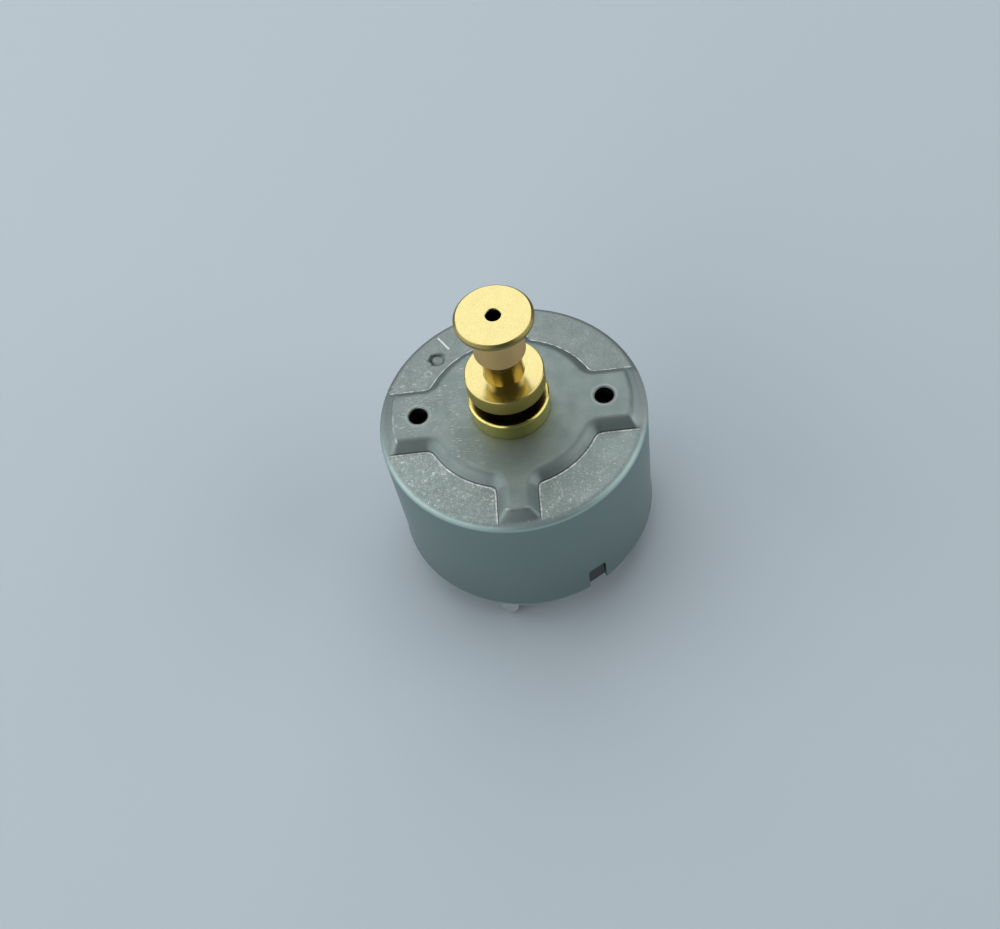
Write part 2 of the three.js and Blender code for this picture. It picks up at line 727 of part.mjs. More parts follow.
addPart('front_spacer', bush(
  BORE_RADIUS,
  SPACER_RADIUS,
  insulatorTop + FACE_GAP,
  frontWasherBottom - FACE_GAP,
  COARSE,
), WHITE_NYLON);
addPart('front_washer', bush(
  BORE_RADIUS,
  WASHER_RADIUS,
  frontWasherBottom,
  frontWasherTop,
  COARSE,
), WHITE_NYLON);
addPart('rear_washer', bush(
  BORE_RADIUS,
  WASHER_RADIUS,
  rearWasherTop - WASHER_THICKNESS,
  rearWasherTop,
  COARSE,
), WHITE_NYLON);

// ---------------------------------------------------------------- pulley

/** Profile of the pulley: flange, neck, tapered step and thin rim, with a stepped bore. */
function pulleyProfile() {
  const coneFoot = STEP_BOTTOM + PULLEY_CHAMFER;
  const coneTopRadius = STEP_RADIUS - Math.tan(radians(STEP_CONE)) * (RIM_BOTTOM - coneFoot);
  return [
    [BORE_RADIUS, PULLEY_BOTTOM],
    [FLANGE_RADIUS - PULLEY_CHAMFER, PULLEY_BOTTOM],
    [FLANGE_RADIUS, PULLEY_BOTTOM + PULLEY_CHAMFER],
    [FLANGE_RADIUS, FLANGE_TOP - PULLEY_CHAMFER],
    [FLANGE_RADIUS - PULLEY_CHAMFER, FLANGE_TOP],
    [NECK_RADIUS, FLANGE_TOP],
    [NECK_RADIUS, STEP_BOTTOM],
    [STEP_RADIUS - PULLEY_CHAMFER, STEP_BOTTOM],
    [STEP_RADIUS, coneFoot],
    [coneTopRadius, RIM_BOTTOM],
    [RIM_RADIUS - PULLEY_CHAMFER, RIM_BOTTOM],
    [RIM_RADIUS, RIM_BOTTOM + PULLEY_CHAMFER],
    [RIM_RADIUS, PULLEY_TOP - FACE_CHAMFER],
    [FACE_RADIUS, PULLEY_TOP],
    [VENT_RADIUS + PULLEY_CHAMFER, PULLEY_TOP],
    [VENT_RADIUS, PULLEY_TOP - PULLEY_CHAMFER],
    [VENT_RADIUS, BLIND_BORE_TOP],
    [BORE_RADIUS, BLIND_BORE_TOP],
  ].map(([radius, height]) => [radius, height + PLATFORM]);
}

addPart('pulley', ring(pulleyProfile(), FINE), BRASS);

export default motor;
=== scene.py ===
"""The looks of a flat 32 mm brushed DC motor with a turned brass pulley, built around its CAD frame."""

import json
import math

import bmesh
import bpy
import numpy as np
from mathutils import Matrix, Vector


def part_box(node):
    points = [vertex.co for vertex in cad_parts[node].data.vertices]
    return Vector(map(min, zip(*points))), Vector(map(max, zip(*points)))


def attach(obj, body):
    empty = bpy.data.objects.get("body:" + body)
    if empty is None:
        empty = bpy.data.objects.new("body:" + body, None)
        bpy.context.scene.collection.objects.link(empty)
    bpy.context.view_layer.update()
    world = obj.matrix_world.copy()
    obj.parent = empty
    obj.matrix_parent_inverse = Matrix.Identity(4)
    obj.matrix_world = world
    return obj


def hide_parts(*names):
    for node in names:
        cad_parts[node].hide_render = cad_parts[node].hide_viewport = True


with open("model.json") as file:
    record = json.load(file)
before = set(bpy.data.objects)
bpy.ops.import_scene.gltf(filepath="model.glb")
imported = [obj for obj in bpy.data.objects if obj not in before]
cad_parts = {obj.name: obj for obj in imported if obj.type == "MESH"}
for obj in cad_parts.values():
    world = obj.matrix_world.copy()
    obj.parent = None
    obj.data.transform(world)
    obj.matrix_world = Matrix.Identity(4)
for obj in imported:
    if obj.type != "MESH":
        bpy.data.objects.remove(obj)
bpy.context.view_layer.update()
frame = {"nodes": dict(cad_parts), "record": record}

MM = 0.001
STATOR = "stator"


def corners(node):
    """The lowest and highest corners of a CAD node, in millimetres."""
    low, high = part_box(node)
    return low / MM, high / MM


# ---------------------------------------------------------------- sizes, in millimetres

CAN_LOW, CAN_HIGH = corners("can")
CAN_RADIUS = CAN_HIGH.x
PLATFORM = CAN_HIGH.z
LIP = CAN_LOW.z

# can sheet
SHEET = 0.85
CAN_BORE = CAN_RADIUS - 0.8
RIM_ROUND = 0.9
LIP_ROUND = 0.16
LIP_FLARE = 0.12
FLARE_LENGTH = 5 * LIP_FLARE
INNER_CORNER = 0.6
CENTRE_HOLE = 3.18
HOLE_EDGE = 0.12

# embossed face: a raised plus between four sectors
SECTOR_DEPTH = 1.25
SECTOR_FLOOR = PLATFORM - SECTOR_DEPTH
SECTOR_DRAFT = 1.05
SECTOR_INNER_RADIUS = 10.65
SECTOR_CORNER = 1.0
SIDE_ARM_FOOT = 4.45
END_ARM_FOOT = 2.45
ARM_REACH = 14.1
ARM_END_DROP = 0.45
ARM_END_RUN = 0.32
TOP_EDGE_BLEND = 0.7
ARM_END_BLEND = 0.6
FOOT_BLEND = 1.05
FOOT_LINE = 0.07
POCKET_REACH = 13.3

# press marks in the back left sector: place, radius and depth
PUNCH_MARK = ((-8.7, 8.98), 1.0, 0.3)
SMALL_MARK = ((-9.8, 6.84), 0.5, 0.06)
MARK_WALL = 0.4
MARK_CROWN = 0.5
SCORE_START = (-8.55, 12.37)
SCORE_END = (-7.13, 10.29)
SCORE_WIDTH = 0.14

# mounting holes
HOLE_PLACE = 11.0
HOLE_RADIUS = 1.1
HOLE_LEAD_IN = 0.25
THREAD_PITCH = 0.45
THREAD_DEPTH = 0.13
THREAD_START = 0.05
MOUTH_CLEARANCE = 0.01
COLLAR_RADIUS = 1.8
COLLAR_DEPTH = 1.9
COLLAR_EDGE = 0.15

# notches and crimps in the open edge
NOTCH_ANGLES = (-60.0, 120.0)
NOTCH_WIDTH = 2.5
NOTCH_HEIGHT = 3.9
NOTCH_CORNER = 0.5
CRIMP_ANGLES = (-15.0, 45.0, 165.0, 225.0)
CRIMP_WIDTH = 2.6
CRIMP_REACH = 0.7
CRIMP_THICKNESS = 0.55
CRIMP_SPREAD = 0.2
CRIMP_ROOT = 0.3
CRIMP_LIFT = 0.02

# brass parts
VENT_RADIUS = 0.75
FLANGE_BOTTOM, PULLEY_TOP = (corner.z for corner in corners("pulley"))
STEP_BOTTOM = PULLEY_TOP - 6.05
RIM_BOTTOM = PULLEY_TOP - 0.8
STEP_RADIUS = 2.95
FACE_RADIUS = 4.1
FLANGE_RADIUS = corners("pulley")[1].x
NECK_RADIUS = 2.32
HOUSING_RADIUS = 4.8
HOUSING_TOP = corners("bearing_housing")[1].z

# fineness of the meshes
AROUND = 576
TURNED_SIDES = 128
TOOL_SIDES = 64
RING_STEP = 0.12
RIM_STEPS = 8
SIDE_RINGS = 8
LIP_STEPS = 3
NOTCH_STEPS = 5
MOUTH_STEPS = 6
STAMPED_EDGE = 0.06
CREASE_ANGLE = 40
CAN_CREASE_ANGLE = 38
SOFT_STEPS = 4
SOFT_REACH = 0.4
INNER_RINGS = 16
ON_AXIS = 1e-6

# in metres: how near points count as one, and as lying on the cutting plane
MERGE_DISTANCE = 1e-7
ON_PLANE = 1e-6

# how far the tools that cut the can reach past what they cut, in millimetres
OVERCUT = 1.0

# ---------------------------------------------------------------- mesh helpers


def make_object(name, points, faces):
    """A mesh object from points in millimetres."""
    mesh = bpy.data.meshes.new(name)
    mesh.from_pydata((np.asarray(points, float) * MM).tolist(), [], faces)
    mesh.validate()
    obj = bpy.data.objects.new(name, mesh)
    bpy.context.scene.collection.objects.link(obj)
    return obj


def tidy_normals(obj):
    """Turns every face outwards."""
    mesh = bmesh.new()
    mesh.from_mesh(obj.data)
    bmesh.ops.recalc_face_normals(mesh, faces=mesh.faces)
    mesh.to_mesh(obj.data)
    mesh.free()


def smooth(obj, sharp_angle):
    """Smooth shading that breaks at edges sharper than an angle in degrees."""
    obj.data.polygons.foreach_set("use_smooth", [True] * len(obj.data.polygons))
    obj.data.set_sharp_from_angle(angle=math.radians(sharp_angle))
    weighted = obj.modifiers.new("weighted", "WEIGHTED_NORMAL")
    weighted.keep_sharp = True


def dress(obj, body, material, slot, *nodes):
    """Gives a piece its material, its body and the CAD nodes that it stands for."""
    obj.data.materials.clear()
    obj.data.materials.append(material)
    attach(obj, body)
    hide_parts(*nodes)


def apply_modifiers(obj):
    """Turns an object's modifiers into plain mesh."""
    depsgraph = bpy.context.evaluated_depsgraph_get()
    evaluated = obj.evaluated_get(depsgraph)
    mesh = bpy.data.meshes.new_from_object(evaluated)
    obj.modifiers.clear()
    obj.data = mesh


def boolean(obj, tools, operation):
    """Joins tools to an object or cuts them out of it, and removes the tools."""
    for tool in tools:
        modifier = obj.modifiers.new("boolean", "BOOLEAN")
        modifier.operation = operation
        modifier.solver = "MANIFOLD"
        modifier.object = tool
    bpy.context.view_layer.update()
    apply_modifiers(obj)
    for tool in tools:
        bpy.data.objects.remove(tool)


def lathe(name, profile, sides, centre=(0.0, 0.0)):
    """A body turned about an upright axis from [radius, height] points.

    The profile closes on itself, or starts and ends on the axis."""
    points, rings = [], []
    for radius, height in profile:
        if radius < ON_AXIS:
            rings.append([len(points)] * sides)
            points.append((centre[0], centre[1], height))
            continue
        rings.append(range(len(points), len(points) + sides))
        for side in range(sides):
            angle = 2 * math.pi * side / sides
            points.append((
                centre[0] + radius * math.cos(angle),
                centre[1] + radius * math.sin(angle),
                height,
            ))
    closed = profile[0][0] > ON_AXIS
    pairs = list(zip(rings, rings[1:])) + ([(rings[-1], rings[0])] if closed else [])
    faces = []
    for low, high in pairs:
        for side in range(sides):
            after = (side + 1) % sides
            face = [low[side], low[after], high[after], high[side]]
            faces.append(list(dict.fromkeys(face)))
    obj = make_object(name, points, faces)
    tidy_normals(obj)
    return obj


def arc(centre, radius, start, end, steps):
    """Points on an arc between two angles in degrees, both ends included."""
    angles = [math.radians(start + (end - start) * step / steps) for step in range(steps + 1)]
    return [(centre[0] + radius * math.cos(angle), centre[1] + radius * math.sin(angle)) for angle in angles]


def soften(profile, size, closed):
    """Rounds every corner of a profile over a length of its sides."""
    rounded = []
    count = len(profile)
    for index, corner in enumerate(profile):
        if not closed and index in (0, count - 1):
            rounded.append(tuple(corner))
            continue
        here = Vector(corner)
        before, after = Vector(profile[index - 1]) - here, Vector(profile[(index + 1) % count]) - here
        start = here + before.normalized() * min(size, SOFT_REACH * before.length)
        end = here + after.normalized() * min(size, SOFT_REACH * after.length)
        for step in range(SOFT_STEPS + 1):
            share = step / SOFT_STEPS
            rounded.append(tuple(
                start * (1 - share) ** 2 + here * 2 * share * (1 - share) + end * share ** 2
            ))
    return rounded


def profile_of(node):
    """The [radius, height] line of a turned CAD node, and whether it closes on itself."""
    mesh = bmesh.new()
    mesh.from_mesh(frame["nodes"][node].data)
    bmesh.ops.remove_doubles(mesh, verts=mesh.verts, dist=MERGE_DISTANCE)
    cut = {v for v in mesh.verts if abs(v.co.x) < ON_PLANE and v.co.y < ON_PLANE}
    links = {v: [e.other_vert(v) for e in v.link_edges if e.other_vert(v) in cut] for v in cut}
    ends = [v for v in cut if len(links[v]) == 1]
    start = min(ends or cut, key=lambda v: (v.co.z, -v.co.y))
    line, last, here = [start], None, start
    while True:
        ahead = [v for v in links[here] if v is not last and (v not in line or v is start)]
        if not ahead or (ahead[0] is start and len(line) > 2):
            break
        last, here = here, ahead[0]
        line.append(here)
    profile = [(abs(v.co.y) / MM, v.co.z / MM) for v in line]
    mesh.free()
    return profile, not ends


def turned_piece(node, body, material, slot, edge):
    """A CAD node that is a body of revolution, turned again with finer sides and soft edges."""
    profile, closed = profile_of(node)
    obj = lathe(node + "_turned", soften(profile, edge, closed), TURNED_SIDES)
    smooth(obj, CREASE_ANGLE)
    dress(obj, body, material, slot, node)
    return obj


def edged_piece(node, body, material, slot):
    """A CAD node with its sharp edges broken."""
    source = frame["nodes"][node].data.copy()
    obj = bpy.data.objects.new(node + "_edged", source)
    bpy.context.scene.collection.objects.link(obj)
    mesh = bmesh.new()
    mesh.from_mesh(source)
    bmesh.ops.remove_doubles(mesh, verts=mesh.verts, dist=MERGE_DISTANCE)
    bmesh.ops.dissolve_limit(mesh, angle_limit=math.radians(1), verts=mesh.verts, edges=mesh.edges)
    mesh.to_mesh(source)
    mesh.free()
    bevel = obj.modifiers.new("edges", "BEVEL")
    bevel.width = STAMPED_EDGE * MM
    bevel.segments = 2
    bevel.limit_method = "ANGLE"
    bevel.angle_limit = math.radians(30)
    smooth(obj, CREASE_ANGLE)
    dress(obj, body, material, slot, node)
    return obj


# ---------------------------------------------------------------- materials


class Finish:
    """A material: one principled surface, and the nodes that vary it from place to place."""

    def __init__(self, name, metallic, constants=()):
        self.material = bpy.data.materials.new(name)
        self.material.use_nodes = True
        self.tree = self.material.node_tree
        self.surface = self.tree.nodes["Principled BSDF"]
        self.surface.inputs["Metallic"].default_value = metallic
        for socket, value in constants:
            self.surface.inputs[socket].default_value = value
        coordinates = self.tree.nodes.new("ShaderNodeTexCoord").outputs["Object"]
        self.place = self.add("Mapping", {"Vector": coordinates, "Scale": (1 / MM,) * 3}).outputs["Vector"]
        self.height = None
        self.tone = None
        self.grit = None

    def add(self, kind, inputs, **settings):
        node = self.tree.nodes.new("ShaderNode" + kind)
        for name, value in settings.items():
            setattr(node, name, value)
        for name, value in inputs.items():
            if isinstance(value, bpy.types.NodeSocket):
                self.tree.links.new(value, node.inputs[name])
            else:
                node.inputs[name].default_value = value
        return node

    def math(self, operation, first, second=0.0, third=0.0):
        return self.add("Math", {0: first, 1: second, 2: third}, operation=operation).outputs[0]

    def axes(self):
        parts = self.add("SeparateXYZ", {"Vector": self.place}).outputs
        return parts["X"], parts["Y"], parts["Z"]

    def radius(self):
        """Distance from the shaft axis, in millimetres."""
        x, y, _ = self.axes()
        return self.math("SQRT", self.math("ADD", self.math("MULTIPLY", x, x), self.math("MULTIPLY", y, y)))

    def angle(self):
        """Angle about the shaft axis, in radians."""
        x, y, _ = self.axes()
        return self.math("ARCTAN2", y, x)

    def joined(self, x, y, z):
        return self.add("CombineXYZ", {"X": x, "Y": y, "Z": z}).outputs["Vector"]

    def noise(self, scale, detail=3.0, roughness=0.55, stretch=None, place=None):
        """Cloudy values about a half. The scale is in features per millimetre."""
        place = place or self.place
        if stretch:
            place = self.add("Mapping", {"Vector": place, "Scale": stretch}).outputs["Vector"]
        inputs = {"Vector": place, "Scale": scale, "Detail": detail, "Roughness": roughness}
        return self.add("TexNoise", inputs).outputs["Fac"]

    def ramp(self, value, low, high, to_low=0.0, to_high=1.0):
        """Maps a range of values to another range, held at its ends."""
        inputs = {"Value": value, "From Min": low, "From Max": high, "To Min": to_low, "To Max": to_high}
        return self.add("MapRange", inputs).outputs["Result"]

    def mix(self, factor, first, second):
        """A colour between two colours."""
        def as_input(value):
            return value if isinstance(value, bpy.types.NodeSocket) else (*value, 1)
        inputs = {0: factor, 6: as_input(first), 7: as_input(second)}
        return self.add("Mix", inputs, data_type="RGBA").outputs[2]

    def mix_value(self, factor, first, second):
        """A value between two values."""
        return self.add("Mix", {0: factor, 2: first, 3: second}).outputs[0]

    def colour(self, socket):
        self.tone = socket
        self.tree.links.new(socket, self.surface.inputs["Base Color"])

    def tint(self, mask, colour):
        """Shifts the colour towards another where a mask is 1."""
        self.colour(self.mix(mask, self.tone, colour))

    def product(self, *factors):
        """All the factors multiplied together."""
        total = factors[0]
        for factor in factors[1:]:
            total = self.math("MULTIPLY", total, factor)
        return total

    def band(self, value, middle, half_width, softness):
        """1 within a half width of a value, falling to 0 over a softness."""
        away = self.math("ABSOLUTE", self.math("SUBTRACT", value, middle))
        return self.ramp(away, half_width + softness, half_width)

    def away_from(self, place):
        """Distance from an upright line through a place, in millimetres."""
        x, y, _ = self.axes()
        along = self.math("SUBTRACT", x, place[0])
        across = self.math("SUBTRACT", y, place[1])
        return self.math("SQRT", self.math("ADD", self.product(along, along), self.product(across, across)))

    def roughness(self, socket):
        self.grit = socket
        self.tree.links.new(socket, self.surface.inputs["Roughness"])

    def bump(self, height, depth):
        """Adds relief of a depth in millimetres over what is there."""
        inputs = {"Height": height, "Distance": depth * MM}
        if self.height:
            inputs["Normal"] = self.height
        self.height = self.add("Bump", inputs).outputs["Normal"]
        if self.surface.inputs["Normal"].links:
            self.tree.links.remove(self.surface.inputs["Normal"].links[0])
        self.tree.links.new(self.height, self.surface.inputs["Normal"])


def outside_sectors(finish):
    """How far a point lies outside the foot of the nearest sector, in millimetres."""
    x, y, _ = finish.axes()
    beside = finish.math("SUBTRACT", SIDE_ARM_FOOT, finish.math("ABSOLUTE", y))
    beyond = finish.math("SUBTRACT", END_ARM_FOOT, finish.math("ABSOLUTE", x))
    arms = finish.math("SMOOTH_MAX", beside, beyond, FOOT_BLEND)
    inwards = finish.math("SUBTRACT", SECTOR_INNER_RADIUS, finish.radius())
    return finish.math("SMOOTH_MAX", arms, inwards, FOOT_BLEND)


def score_mask(finish):
    """1 along the short score beside the punch mark."""
    x, y, _ = finish.axes()
    start, end = Vector(SCORE_START), Vector(SCORE_END)
    length = (end - start).length
    ahead = (end - start) / length
    from_x, from_y = finish.math("SUBTRACT", x, start.x), finish.math("SUBTRACT", y, start.y)
    along = finish.math("ADD", finish.product(from_x, ahead.x), finish.product(from_y, ahead.y))
    across = finish.math("SUBTRACT", finish.product(from_x, ahead.y), finish.product(from_y, ahead.x))
    return finish.product(
        finish.band(across, 0.0, SCORE_WIDTH / 2, SCORE_WIDTH / 2),
        finish.band(along, length / 2, length / 2 - SCORE_WIDTH, SCORE_WIDTH),
    )


# Several tones below paint light and shade rather than the zinc's own colour: glints on the flakes and the
# front of the rim, highlights on the rim, the arm edges, the sector feet, the hole rings and the lip, lighter
# arm ends, and shade in the creases, the punch mark and the holes.
SHEET_TONES = ((0.250, 0.318, 0.308), (0.285, 0.348, 0.334))
COINED_TONE = (0.36, 0.41, 0.40)
GRAIN_TONE = (0.42, 0.47, 0.46)
PIT_TONE = (0.13, 0.165, 0.17)
MOTTLE_TONE = (0.58, 0.64, 0.62)
FLAKE_GLINT_TONE = (0.98, 0.99, 0.97)
RIM_FLAKE_GLINT_TONE = (0.96, 0.97, 0.94)
SCUFF_TONE = (0.85, 0.89, 0.88)
RIM_HIGHLIGHT_TONE = (0.52, 0.68, 0.65)
ARM_END_LIGHT_TONE = (0.46, 0.52, 0.51)
ARM_EDGE_HIGHLIGHT_TONE = (0.85, 0.88, 0.87)
SHADE_TONE = (0.05, 0.065, 0.07)
FOOT_HIGHLIGHT_TONE = (0.98, 0.99, 0.98)
SMALL_MARK_TONE = (0.75, 0.79, 0.78)
SCORE_TONE = (0.92, 0.94, 0.93)
HOLE_LIP_HIGHLIGHT_TONE = (0.75, 0.78, 0.78)
HOLE_SHADE_TONE = (0.012, 0.013, 0.013)
LIP_HIGHLIGHT_TONE = (0.62, 0.68, 0.68)


def zinc_finish():
    """Satin zinc plate with coined sectors, press-tool scores and painted light: glints on the sector flakes
    and the front of the rim, highlights on the rim, the arm edges, the sector feet, the hole rings and the
    lip, lighter arm ends, and shade in the creases, the punch mark and the holes.
    """
    finish = Finish("zinc_plated_steel", 1.0)
    x, y, z = finish.axes()
    radius = finish.radius()
    outside = outside_sectors(finish)
    on_face = finish.ramp(z, SECTOR_FLOOR - RIM_ROUND, SECTOR_FLOOR - 0.2)
    within_rim = finish.ramp(radius, CAN_RADIUS - 0.5, CAN_RADIUS - RIM_ROUND)
    on_platform = finish.ramp(z, PLATFORM - 0.12, PLATFORM - 0.04)
    on_sector = finish.product(finish.ramp(outside, 0.0, -0.2), on_face)
    to_front_left = finish.ramp(finish.math("ADD", x, y), 0.0, -13.0, 0.15, 1.0)

    clouds = finish.noise(0.45, detail=4.0)
    grain = finish.noise(9.0, detail=3.0, roughness=0.7)
    finish.colour(finish.mix(finish.product(finish.ramp(clouds, 0.3, 0.7), on_face), *SHEET_TONES))
    finish.tint(finish.product(on_sector, 0.2), COINED_TONE)
    finish.tint(finish.product(finish.ramp(grain, 0.4, 0.7, 0.0, 0.35), on_face), GRAIN_TONE)
    finish.tint(finish.product(finish.ramp(grain, 0.5, 0.3, 0.0, 0.6), on_sector), PIT_TONE)

    patches = finish.ramp(finish.noise(0.9, detail=2.0), 0.38, 0.60)
    mottle = finish.noise(1.7, detail=3.0, roughness=0.7)
    finish.tint(finish.product(finish.ramp(mottle, 0.52, 0.68), on_sector, to_front_left, 0.5), MOTTLE_TONE)
    # Near-white flakes on the sectors, strongest to the front left: partly the zinc's own flakes, partly
    # painted glints.
    flakes = finish.ramp(finish.noise(2.9, detail=3.0, roughness=0.8), 0.57, 0.66)
    sparkle = finish.product(flakes, patches, on_sector, to_front_left)
    finish.tint(finish.product(sparkle, 0.9), FLAKE_GLINT_TONE)
    # Painted glints on the rounding of the rim at the front.
    rim_flake_glints = finish.product(
        finish.ramp(finish.noise(3.2, detail=3.0, roughness=0.8), 0.60, 0.68),
        finish.band(z, SECTOR_FLOOR - 0.25, 0.25, 0.15),
        finish.ramp(y, 2.0, -12.0),
    )
    finish.tint(finish.product(rim_flake_glints, 0.8), RIM_FLAKE_GLINT_TONE)

    strokes = finish.noise(1.0, detail=2.0, roughness=0.7, stretch=(1.5, 8.0, 1.0))
    dashes = finish.product(
        finish.ramp(strokes, 0.55, 0.64),
        finish.ramp(finish.noise(1.1, detail=1.0), 0.44, 0.56),
        on_platform,
        finish.ramp(x, -2.0, -5.5),
    )
    finish.tint(finish.product(dashes, 0.6), SCUFF_TONE)

    # Painted highlight: a pale bluish band along the rim's rounding at the front.
    rim_highlight = finish.product(finish.band(z, SECTOR_FLOOR - 0.42, 0.2, 0.25), finish.ramp(y, 4.0, -8.0))
    finish.tint(finish.product(rim_highlight, 0.85), RIM_HIGHLIGHT_TONE)
    # Painted light: the slopes at the arms' ends are lightened, most on the right.
    arm_end_light = finish.product(
        finish.ramp(radius, ARM_REACH + 0.05, ARM_REACH + 0.4),
        finish.ramp(outside, 0.2, 0.9),
        on_face,
    )
    finish.tint(finish.product(arm_end_light, finish.ramp(x, 4.0, 12.0, 0.25, 0.9)), ARM_END_LIGHT_TONE)
    patchiness = finish.ramp(finish.noise(1.6, detail=2.0), 0.38, 0.62, 0.25, 1.0)
    # Painted highlight along the end edge of each arm, broken up by noise and strongest on the left.
    arm_edge_highlight = finish.product(
        finish.band(radius, ARM_REACH - 0.04, 0.06, 0.1),
        finish.ramp(z, PLATFORM - 0.3, PLATFORM - 0.15),
        patchiness,
    )
    finish.tint(finish.product(arm_edge_highlight, finish.ramp(x, 8.0, 0.0, 0.25, 1.0), 0.6), ARM_EDGE_HIGHLIGHT_TONE)
    # Painted highlight and painted shade along the crease at the foot of the sector slopes.
    foot_highlight = finish.product(finish.band(outside, -FOOT_LINE, 0.05, 0.05), on_face, within_rim)
    foot_shade = finish.product(finish.band(outside, FOOT_LINE, 0.03, 0.06), on_face, within_rim)
    finish.tint(finish.product(foot_shade, 0.72), SHADE_TONE)
    finish.tint(finish.product(foot_highlight, patchiness, 0.95), FOOT_HIGHLIGHT_TONE)

    (mark_place, mark_reach, _), (small_place, small_reach, _) = PUNCH_MARK, SMALL_MARK
    uneven = finish.ramp(finish.noise(1.3, detail=1.0), 0.3, 0.7, -0.22, 0.22)
    from_mark = finish.math("ADD", finish.away_from(mark_place), uneven)
    # Painted shade on one side of the punch mark's wall.
    mark_wall = finish.band(from_mark, 0.78 * mark_reach, 0.12, 0.2)
    mark_line = mark_place[1] - mark_place[0]
    shaded_side = finish.ramp(finish.math("SUBTRACT", y, x), mark_line - 0.58, mark_line + 0.22, 0.25, 1.0)
    finish.tint(finish.product(mark_wall, shaded_side, on_face, 0.75), SHADE_TONE)
    small_ring = finish.band(finish.away_from(small_place), 0.8 * small_reach, 0.05, 0.1)
    finish.tint(finish.product(small_ring, patchiness, on_face, 0.5), SMALL_MARK_TONE)
    finish.tint(finish.product(score_mask(finish), on_face, 0.8), SCORE_TONE)

    off_centre = finish.math("SUBTRACT", finish.math("ABSOLUTE", x), HOLE_PLACE)
    squares = finish.math("ADD", finish.product(off_centre, off_centre), finish.product(y, y))
    from_hole = finish.math("SQRT", squares)
    # Painted highlight: a faint pale ring around each hole, where a shallow raised lip catches light.
    hole_lip_highlight = finish.product(finish.band(from_hole, HOLE_RADIUS + 0.38, 0.05, 0.1), on_platform)
    finish.tint(finish.product(hole_lip_highlight, 0.2), HOLE_LIP_HIGHLIGHT_TONE)
    # Painted shade: the inside of each tapped hole is made nearly black.
    in_hole = finish.product(
        finish.ramp(from_hole, HOLE_RADIUS + 0.2, HOLE_RADIUS + 0.1),
        finish.ramp(z, PLATFORM - 0.1, PLATFORM - 0.2),
    )
    finish.tint(in_hole, HOLE_SHADE_TONE)
    # Painted highlight: a pale line along the can's open edge.
    lip_highlight = finish.ramp(z, LIP + 0.3, LIP + 0.12)
    finish.tint(finish.product(lip_highlight, 0.6), LIP_HIGHLIGHT_TONE)

    rough = finish.mix_value(on_face, 0.42, finish.ramp(clouds, 0.3, 0.7, 0.58, 0.5))
    finish.roughness(finish.math("SUBTRACT", rough, finish.product(sparkle, 0.12)))
    finish.bump(finish.product(grain, on_face), 0.012)
    finish.bump(sparkle, 0.012)
    finish.bump(dashes, 0.01)
    finish.bump(foot_highlight, 0.03)
    return finish.material


def turned_metal(name, dark, bright, smoothest, roughest, ring_depth):
    """Metal with the fine rings that a lathe tool leaves on faces and cylinders alike."""
    finish = Finish(name, 1.0)
    _, _, z = finish.axes()
    radius = finish.radius()
    rings = finish.noise(1.0, detail=3.0, roughness=0.7, place=finish.joined(
        finish.math("MULTIPLY", radius, 9.0),
        finish.math("MULTIPLY", z, 9.0),
        finish.math("MULTIPLY", finish.angle(), 0.6),
    ))
    speckle = finish.noise(10.0, detail=2.0)
    clouds = finish.noise(0.9)
    tone = finish.mix(finish.ramp(speckle, 0.35, 0.6), dark, bright)
    tone = finish.mix(finish.ramp(rings, 0.3, 0.7, 0.0, 0.3), tone, dark)
    tone = finish.mix(finish.ramp(clouds, 0.35, 0.75, 0.0, 0.5), tone, dark)
    finish.colour(tone)
    finish.roughness(finish.ramp(speckle, 0.3, 0.7, smoothest, roughest))
    finish.bump(rings, ring_depth)
    finish.bump(speckle, ring_depth * 0.6)
    return finish


# The tones for the neck, step, rims, underside and vent paint light and shade on the brass: dark reflections
# on the neck, the step, the flange rims and around the top face, and shade under the flange and in the vent.
NECK_REFLECTION_TONE = (0.42, 0.27, 0.03)
STEP_REFLECTION_TONE = (0.62, 0.42, 0.18)
RIM_SIDE_REFLECTION_TONE = (0.48, 0.37, 0.08)
RIM_EDGE_REFLECTION_TONE = (0.24, 0.19, 0.06)
UNDERSIDE_SHADE_TONE = (0.10, 0.07, 0.02)
VENT_SHADE_TONE = (0.03, 0.015, 0.008)
HOUSING_SHADE_TONE = (0.16, 0.11, 0.03)
DULL_ROUGHNESS = 0.42


